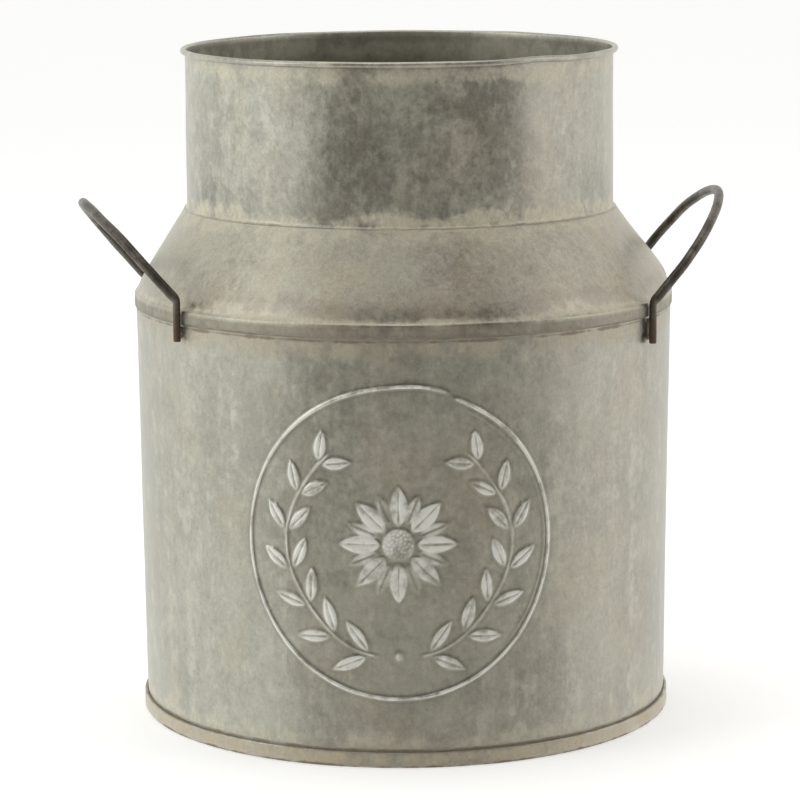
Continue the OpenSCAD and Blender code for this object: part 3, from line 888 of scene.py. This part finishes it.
mat_body = zinc("aged_zinc_body", [(173.0, 7.0, 2.6, 0.45, "tan"), (174.9, 0.7, 0.45, 0.6, "brown"), (9.0, 6.5, 2.2, 0.5, "cream"), (7.0, 0.8, 0.3, 0.6, "brown")], 0.0, relief=True)
mat_shoulder = zinc("aged_zinc_shoulder", [(215.5, 4.5, 2.0, 0.55, "cream"), (188.0, 4.0, 3.0, 0.25, "mauve"), (182.8, 1.6, 0.6, 0.75, "cream"), (178.8, 2.6, 0.8, 0.55, "cream"), (176.2, 0.5, 0.3, 0.6, "brown")], -0.005, warm=0.26, seed=0.37, gain=0.93, crisp=1.35)
mat_neck = zinc("aged_zinc_neck", [(CAN_H - 7.0, 4.6, 2.0, 0.6, "cream"), (219.5, 5.0, 2.6, 0.9, "cream"), (217.2, 0.3, 0.3, 0.35, "brown")], 0.018, seed=0.71, crisp=1.3)
mat_base = zinc("aged_zinc_base", [(3.8, 3.6, 0.6, 0.85, "tan"), (0.2, 0.9, 0.5, 0.8, "brown"), (6.3, 0.35, 0.2, 0.45, "brown")], 0.0, warm=0.12, seed=0.15, gain=1.06)
mat_wire = wire("dark_drawn_wire")
mat_hoop = wire("hoop_wire", rusty=False)
mat_weld = weld("rusty_weld")


def finish_piece(o, mat, slot, *nodes):
    o.data.materials.clear()
    o.data.materials.append(mat)
    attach(o, "root")
    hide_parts(*nodes)
    return o


body = finish_piece(build_body(), mat_body, "zinc_body", "body_wall")
shoulder = finish_piece(build_shoulder(), mat_shoulder, "zinc_shoulder", "shoulder_cone")
neck = finish_piece(build_neck(), mat_neck, "zinc_neck", "neck_wall")
base = finish_piece(build_base(), mat_base, "zinc_base", "base_pan")
left = finish_piece(build_handle("left_handle_wire", 49.9, 180 + 11.1, 1, 0.4, 2.0, 53.0, 49.6), mat_wire, "handle_wire", "left_handle")
right = finish_piece(build_handle("right_handle_wire", 50.9, -0.6, 2, -0.5, 1.5, 55.2, 49.9), mat_wire, "handle_wire", "right_handle")
lw = finish_piece(build_welds("left_weld_beads", 180 + 11.1, 1, (-1.6, 2.4), 53.0), mat_weld, "weld_metal", "left_handle_welds")
rw = finish_piece(build_welds("right_weld_beads", -0.6, 2, (-2.0, 1.0), 55.2), mat_weld, "weld_metal", "right_handle_welds")
hoop = finish_piece(build_hoop(), mat_hoop, "hoop_wire", "rim_wire")

# ---------------------------------------------------------------- stage, light, camera
floor_me = bpy.data.meshes.new("floor")
S = 14.0
floor_me.from_pydata([(-S, -S, -0.0001), (S, -S, -0.0001), (S, S, -0.0001), (-S, S, -0.0001)], [], [(0, 1, 2, 3)])
floor = bpy.data.objects.new("floor", floor_me)
bpy.context.scene.collection.objects.link(floor)
fm = bpy.data.materials.new("pale_floor")
fm.use_nodes = True
fb = fm.node_tree.nodes["Principled BSDF"]
fb.inputs["Roughness"].default_value = 0.9
fb.inputs["Specular IOR Level"].default_value = 0.1
fb.inputs["Emission Color"].default_value = (1, 1, 1, 1)
fb.inputs["Base Color"].default_value = (0.93, 0.93, 0.92, 1)
fb.inputs["Emission Strength"].default_value = 0.30
flp = fm.node_tree.nodes.new("ShaderNodeLightPath")
fclear = fm.node_tree.nodes.new("ShaderNodeBsdfTransparent")
fmix = fm.node_tree.nodes.new("ShaderNodeMixShader")
fm.node_tree.links.new(flp.outputs["Is Camera Ray"], fmix.inputs[0])
fm.node_tree.links.new(fclear.outputs[0], fmix.inputs[1])
fm.node_tree.links.new(fb.outputs[0], fmix.inputs[2])
fm.node_tree.links.new(fmix.outputs[0], fm.node_tree.nodes["Material Output"].inputs["Surface"])
floor_me.materials.append(fm)

w = bpy.data.worlds.new("studio")
bpy.context.scene.world = w
w.use_nodes = True
nt = w.node_tree
nt.nodes.clear()
wo = nt.nodes.new("ShaderNodeOutputWorld")
bg = nt.nodes.new("ShaderNodeBackground")
tc = nt.nodes.new("ShaderNodeTexCoord")
sep = nt.nodes.new("ShaderNodeSeparateXYZ")
# a grey studio in front, a shade to the right, and large white walls to both sides, behind and above
dot = nt.nodes.new("ShaderNodeVectorMath")
dot.operation = "DOT_PRODUCT"
dot.inputs[1].default_value = (0.1736, -0.9848, 0.0)
mr = nt.nodes.new("ShaderNodeMapRange")
mr.interpolation_type = "SMOOTHSTEP"
mr.inputs["From Min"].default_value = 0.70
mr.inputs["From Max"].default_value = 0.20
mr.inputs["To Min"].default_value = 0.0
mr.inputs["To Max"].default_value = 1.0
lp = nt.nodes.new("ShaderNodeLightPath")


def wmath(op, a, b):
    n = nt.nodes.new("ShaderNodeMath")
    n.operation = op
    for i, v in enumerate((a, b)):
        if isinstance(v, (int, float)):
            n.inputs[i].default_value = v
        else:
            nt.links.new(v, n.inputs[i])
    return n.outputs[0]


def wramp(v, lo, hi, a, b):
    n = nt.nodes.new("ShaderNodeMapRange")
    n.interpolation_type = "SMOOTHSTEP"
    n.inputs["From Min"].default_value, n.inputs["From Max"].default_value = lo, hi
    n.inputs["To Min"].default_value, n.inputs["To Max"].default_value = a, b
    nt.links.new(v, n.inputs["Value"])
    return n.outputs["Result"]


def wmix(f, a, b):
    n = nt.nodes.new("ShaderNodeMix")
    n.data_type = "RGBA"
    if isinstance(f, (int, float)):
        n.inputs[0].default_value = f
    else:
        nt.links.new(f, n.inputs[0])
    for i, v in ((6, a), (7, b)):
        if isinstance(v, tuple):
            n.inputs[i].default_value = v
        else:
            nt.links.new(v, n.inputs[i])
    return n.outputs[2]


nt.links.new(tc.outputs["Generated"], sep.inputs[0])
nt.links.new(tc.outputs["Generated"], dot.inputs[0])
nt.links.new(dot.outputs["Value"], mr.inputs["Value"])
walls = mr.outputs["Result"]
east = wramp(sep.outputs[0], -0.5, 0.5, 1.215, 1.14)
lit = wmath("MULTIPLY", wmath("MULTIPLY", east, wramp(sep.outputs[2], 0.30, 0.85, 1.0, 0.60)), 1.0)
front = wramp(sep.outputs[2], -0.02, -0.28, 0.24, 0.64)
level = wmath("ADD", wmath("MULTIPLY", lit, walls), wmath("MULTIPLY", front, wmath("SUBTRACT", 1.0, walls)))
level = wmath("ADD", wmath("MULTIPLY", level, wmath("SUBTRACT", 1.0, lp.outputs["Is Camera Ray"])), lp.outputs["Is Camera Ray"])
tone = wmix(wramp(sep.outputs[0], -0.6, 0.6, 0.0, 1.0), (0.985, 1.0, 0.985, 1), (1.0, 0.985, 0.975, 1))
tone = wmix(walls, (1.0, 0.965, 0.91, 1), tone)
tone = wmix(lp.outputs["Is Camera Ray"], tone, (1, 1, 1, 1))
nt.links.new(tone, bg.inputs["Color"])
nt.links.new(level, bg.inputs["Strength"])
nt.links.new(bg.outputs[0], wo.inputs["Surface"])


def area(name, at, to, size, power, colour=(1, 1, 1)):
    l = bpy.data.lights.new(name, "AREA")
    l.shape = "RECTANGLE"
    l.size, l.size_y = size
    l.energy = power
    l.color = colour
    o = bpy.data.objects.new(name, l)
    bpy.context.scene.collection.objects.link(o)
    o.location = at
    o.rotation_mode = "QUATERNION"
    o.rotation_quaternion = (Vector(to) - Vector(at)).to_track_quat("-Z", "Y")
    return o


area("softbox_left", (-1.35, -0.60, 0.85), (0, 0, 0.16), (0.6, 1.1), 4.0)
area("softbox_right", (1.45, -0.35, 0.75), (0, 0, 0.16), (0.6, 1.1), 2.5)
area("softbox_top", (-0.1, 0.1, 1.8), (0, 0, 0.1), (1.6, 1.6), 7.0)

cam_data = bpy.data.cameras.new("camera")
cam = bpy.data.objects.new("camera", cam_data)
bpy.context.scene.collection.objects.link(cam)
cam_data.sensor_width = 36.0
cam_data.lens = 3119.6 * 36.0 / 800.0
cam_data.clip_start, cam_data.clip_end = 0.05, 60
cam.matrix_world = (Matrix.Translation((-0.00175, -1.3366, 0.3630))
                    @ Matrix.Rotation(math.radians(90 - 9.81), 4, "X")
                    @ Matrix.Rotation(math.radians(-0.358), 4, "Z"))
bpy.context.scene.camera = cam
bpy.context.scene.view_settings.view_transform = "Standard"
